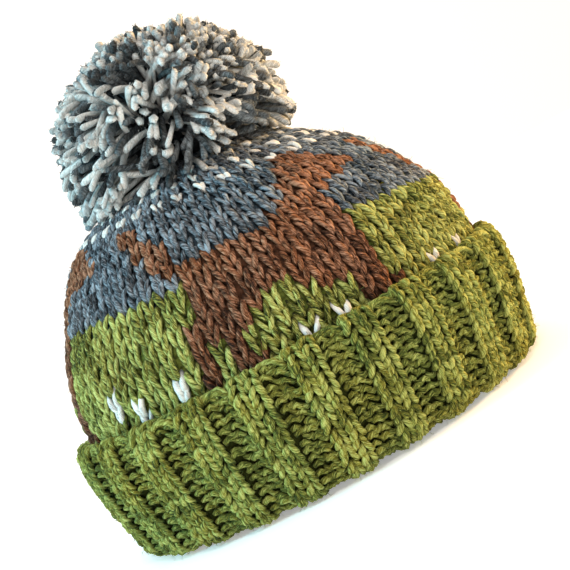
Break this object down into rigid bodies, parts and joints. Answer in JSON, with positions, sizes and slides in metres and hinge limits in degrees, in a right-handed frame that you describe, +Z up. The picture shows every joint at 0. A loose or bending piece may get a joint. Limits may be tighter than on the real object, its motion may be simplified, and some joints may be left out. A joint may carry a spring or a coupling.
{
  "type": "bobble hat",
  "caption": "Hand-knitted bobble hat with a domed crown in picture knitting, a deep turned-up ribbed cuff and a large two-tone pompom.",
  "frame": {"origin": "middle of the floor that the cuff rests on, under the middle of the hat", "axes": "+Z up through the pompom, +X along the long way of the oval head opening, -Y towards the side seen in the picture"},
  "size_m": [0.2173, 0.1864, 0.2148],
  "materials": {
    "crown_wool": "matt hand-knitted wool, green, slate blue and brown",
    "cuff_wool": "matt hand-knitted ribbed wool, moss green",
    "pompom_yarn": "cut wool yarn, off-white and charcoal"
  },
  "bodies": {
    "root": {"crown": "crown_wool", "cuff": "cuff_wool", "pompom": "pompom_yarn"}
  },
  "joints": []
}
